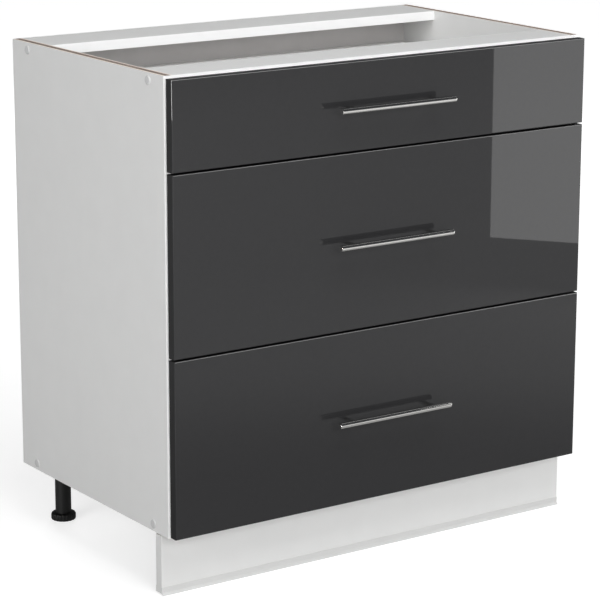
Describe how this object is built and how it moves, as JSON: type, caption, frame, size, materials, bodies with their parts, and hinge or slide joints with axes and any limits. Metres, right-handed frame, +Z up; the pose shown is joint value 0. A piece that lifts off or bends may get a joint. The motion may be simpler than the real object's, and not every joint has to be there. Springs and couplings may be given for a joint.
{
  "type": "base cabinet with drawers",
  "caption": "Kitchen base cabinet with an open top, stacked glossy drawer fronts on roller runners, bar handles, a plinth board and adjustable legs.",
  "frame": {"origin": "on the floor, under the middle of the cabinet's overall box, handles included", "axes": "+Z up, +X to the viewer's right, the drawer fronts face -Y"},
  "size_m": [0.8036, 0.521, 0.82],
  "materials": {
    "white_board": "white melamine faced chipboard, fine matt grain",
    "back_board": "thin white faced fibreboard",
    "edge_band": "white plastic edge band",
    "gloss_front": "high gloss anthracite foil on fibreboard, rounded edges",
    "handle_steel": "satin brushed bar",
    "screw_steel": "zinc plated",
    "side_steel": "white powder coated sheet steel",
    "gallery_steel": "white powder coated tube",
    "roller_nylon": "white nylon",
    "cap_plastic": "white moulded plastic",
    "leg_plastic": "black moulded plastic",
    "clip_plastic": "dark moulded plastic",
    "seal_plastic": "pale flexible plastic strip"
  },
  "bodies": {
    "cabinet": {"side_panel_left": "white_board", "side_panel_right": "white_board", "bottom_panel": "white_board", "front_rail": "white_board", "rear_rail": "white_board", "back_panel": "back_board", "edge_bands": "edge_band", "carcass_screws": "screw_steel", "cover_caps": "cap_plastic", "fitting_screws": "screw_steel", "leg_sockets": "leg_plastic", "leg_tubes": "leg_plastic", "plinth_board": "white_board", "plinth_seal": "seal_plastic", "plinth_clips": "clip_plastic", "upper_runner_left": "side_steel", "upper_runner_right": "side_steel", "middle_runner_left": "side_steel", "middle_runner_right": "side_steel", "lower_runner_left": "side_steel", "lower_runner_right": "side_steel"},
    "foot_front_left": {"foot_front_left": "leg_plastic"},
    "foot_front_right": {"foot_front_right": "leg_plastic"},
    "foot_rear_left": {"foot_rear_left": "leg_plastic"},
    "foot_rear_right": {"foot_rear_right": "leg_plastic"},
    "upper_drawer": {"upper_drawer_side_left": "side_steel", "upper_drawer_side_right": "side_steel", "upper_drawer_base": "white_board", "upper_drawer_back": "white_board", "upper_drawer_front": "gloss_front", "upper_handle": "handle_steel", "upper_drawer_screws": "screw_steel"},
    "upper_runner_roller_left": {"upper_runner_roller_left": "roller_nylon"},
    "upper_drawer_roller_left": {"upper_drawer_roller_left": "roller_nylon"},
    "upper_runner_roller_right": {"upper_runner_roller_right": "roller_nylon"},
    "upper_drawer_roller_right": {"upper_drawer_roller_right": "roller_nylon"},
    "middle_drawer": {"middle_drawer_side_left": "side_steel", "middle_drawer_side_right": "side_steel", "middle_drawer_base": "white_board", "middle_drawer_back": "white_board", "middle_drawer_front": "gloss_front", "middle_handle": "handle_steel", "middle_drawer_screws": "screw_steel", "middle_gallery_rails": "gallery_steel"},
    "middle_runner_roller_left": {"middle_runner_roller_left": "roller_nylon"},
    "middle_drawer_roller_left": {"middle_drawer_roller_left": "roller_nylon"},
    "middle_runner_roller_right": {"middle_runner_roller_right": "roller_nylon"},
    "middle_drawer_roller_right": {"middle_drawer_roller_right": "roller_nylon"},
    "lower_drawer": {"lower_drawer_side_left": "side_steel", "lower_drawer_side_right": "side_steel", "lower_drawer_base": "white_board", "lower_drawer_back": "white_board", "lower_drawer_front": "gloss_front", "lower_handle": "handle_steel", "lower_drawer_screws": "screw_steel", "lower_gallery_rails": "gallery_steel"},
    "lower_runner_roller_left": {"lower_runner_roller_left": "roller_nylon"},
    "lower_drawer_roller_left": {"lower_drawer_roller_left": "roller_nylon"},
    "lower_runner_roller_right": {"lower_runner_roller_right": "roller_nylon"},
    "lower_drawer_roller_right": {"lower_drawer_roller_right": "roller_nylon"}
  },
  "joints": [
    {"name": "foot_front_left_screw", "type": "slide", "parent": "cabinet", "child": "foot_front_left", "axis": [0, 0, -1], "range_m": [0, 0.02]},
    {"name": "foot_front_right_screw", "type": "slide", "parent": "cabinet", "child": "foot_front_right", "axis": [0, 0, -1], "range_m": [0, 0.02]},
    {"name": "foot_rear_left_screw", "type": "slide", "parent": "cabinet", "child": "foot_rear_left", "axis": [0, 0, -1], "range_m": [0, 0.02]},
    {"name": "foot_rear_right_screw", "type": "slide", "parent": "cabinet", "child": "foot_rear_right", "axis": [0, 0, -1], "range_m": [0, 0.02]},
    {"name": "upper_drawer_slide", "type": "slide", "parent": "cabinet", "child": "upper_drawer", "axis": [0, -1, 0], "range_m": [0, 0.34]},
    {"name": "upper_runner_roller_left_turn", "type": "hinge", "parent": "cabinet", "child": "upper_runner_roller_left", "pos_m": [-0.3772, -0.1915, 0.719], "axis": [1, 0, 0], "range_deg": [0, 1624]},
    {"name": "upper_drawer_roller_left_turn", "type": "hinge", "parent": "upper_drawer", "child": "upper_drawer_roller_left", "pos_m": [-0.3763, 0.2213, 0.71625], "axis": [1, 0, 0], "range_deg": [0, 1624]},
    {"name": "upper_runner_roller_right_turn", "type": "hinge", "parent": "cabinet", "child": "upper_runner_roller_right", "pos_m": [0.3772, -0.1915, 0.719], "axis": [1, 0, 0], "range_deg": [0, 1624]},
    {"name": "upper_drawer_roller_right_turn", "type": "hinge", "parent": "upper_drawer", "child": "upper_drawer_roller_right", "pos_m": [0.3763, 0.2213, 0.71625], "axis": [1, 0, 0], "range_deg": [0, 1624]},
    {"name": "middle_drawer_slide", "type": "slide", "parent": "cabinet", "child": "middle_drawer", "axis": [0, -1, 0], "range_m": [0, 0.34]},
    {"name": "middle_runner_roller_left_turn", "type": "hinge", "parent": "cabinet", "child": "middle_runner_roller_left", "pos_m": [-0.3772, -0.1915, 0.432], "axis": [1, 0, 0], "range_deg": [0, 1624]},
    {"name": "middle_drawer_roller_left_turn", "type": "hinge", "parent": "middle_drawer", "child": "middle_drawer_roller_left", "pos_m": [-0.3763, 0.2213, 0.42925], "axis": [1, 0, 0], "range_deg": [0, 1624]},
    {"name": "middle_runner_roller_right_turn", "type": "hinge", "parent": "cabinet", "child": "middle_runner_roller_right", "pos_m": [0.3772, -0.1915, 0.432], "axis": [1, 0, 0], "range_deg": [0, 1624]},
    {"name": "middle_drawer_roller_right_turn", "type": "hinge", "parent": "middle_drawer", "child": "middle_drawer_roller_right", "pos_m": [0.3763, 0.2213, 0.42925], "axis": [1, 0, 0], "range_deg": [0, 1624]},
    {"name": "lower_drawer_slide", "type": "slide", "parent": "cabinet", "child": "lower_drawer", "axis": [0, -1, 0], "range_m": [0, 0.34]},
    {"name": "lower_runner_roller_left_turn", "type": "hinge", "parent": "cabinet", "child": "lower_runner_roller_left", "pos_m": [-0.3772, -0.1915, 0.145], "axis": [1, 0, 0], "range_deg": [0, 1624]},
    {"name": "lower_drawer_roller_left_turn", "type": "hinge", "parent": "lower_drawer", "child": "lower_drawer_roller_left", "pos_m": [-0.3763, 0.2213, 0.14225], "axis": [1, 0, 0], "range_deg": [0, 1624]},
    {"name": "lower_runner_roller_right_turn", "type": "hinge", "parent": "cabinet", "child": "lower_runner_roller_right", "pos_m": [0.3772, -0.1915, 0.145], "axis": [1, 0, 0], "range_deg": [0, 1624]},
    {"name": "lower_drawer_roller_right_turn", "type": "hinge", "parent": "lower_drawer", "child": "lower_drawer_roller_right", "pos_m": [0.3763, 0.2213, 0.14225], "axis": [1, 0, 0], "range_deg": [0, 1624]}
  ],
  "couplings": [
    {"joint": "upper_runner_roller_left_turn", "follows": "upper_drawer_slide", "rad_per_m": 83.333},
    {"joint": "upper_drawer_roller_left_turn", "follows": "upper_drawer_slide", "rad_per_m": 83.333},
    {"joint": "upper_runner_roller_right_turn", "follows": "upper_drawer_slide", "rad_per_m": 83.333},
    {"joint": "upper_drawer_roller_right_turn", "follows": "upper_drawer_slide", "rad_per_m": 83.333},
    {"joint": "middle_runner_roller_left_turn", "follows": "middle_drawer_slide", "rad_per_m": 83.333},
    {"joint": "middle_drawer_roller_left_turn", "follows": "middle_drawer_slide", "rad_per_m": 83.333},
    {"joint": "middle_runner_roller_right_turn", "follows": "middle_drawer_slide", "rad_per_m": 83.333},
    {"joint": "middle_drawer_roller_right_turn", "follows": "middle_drawer_slide", "rad_per_m": 83.333},
    {"joint": "lower_runner_roller_left_turn", "follows": "lower_drawer_slide", "rad_per_m": 83.333},
    {"joint": "lower_drawer_roller_left_turn", "follows": "lower_drawer_slide", "rad_per_m": 83.333},
    {"joint": "lower_runner_roller_right_turn", "follows": "lower_drawer_slide", "rad_per_m": 83.333},
    {"joint": "lower_drawer_roller_right_turn", "follows": "lower_drawer_slide", "rad_per_m": 83.333}
  ]
}
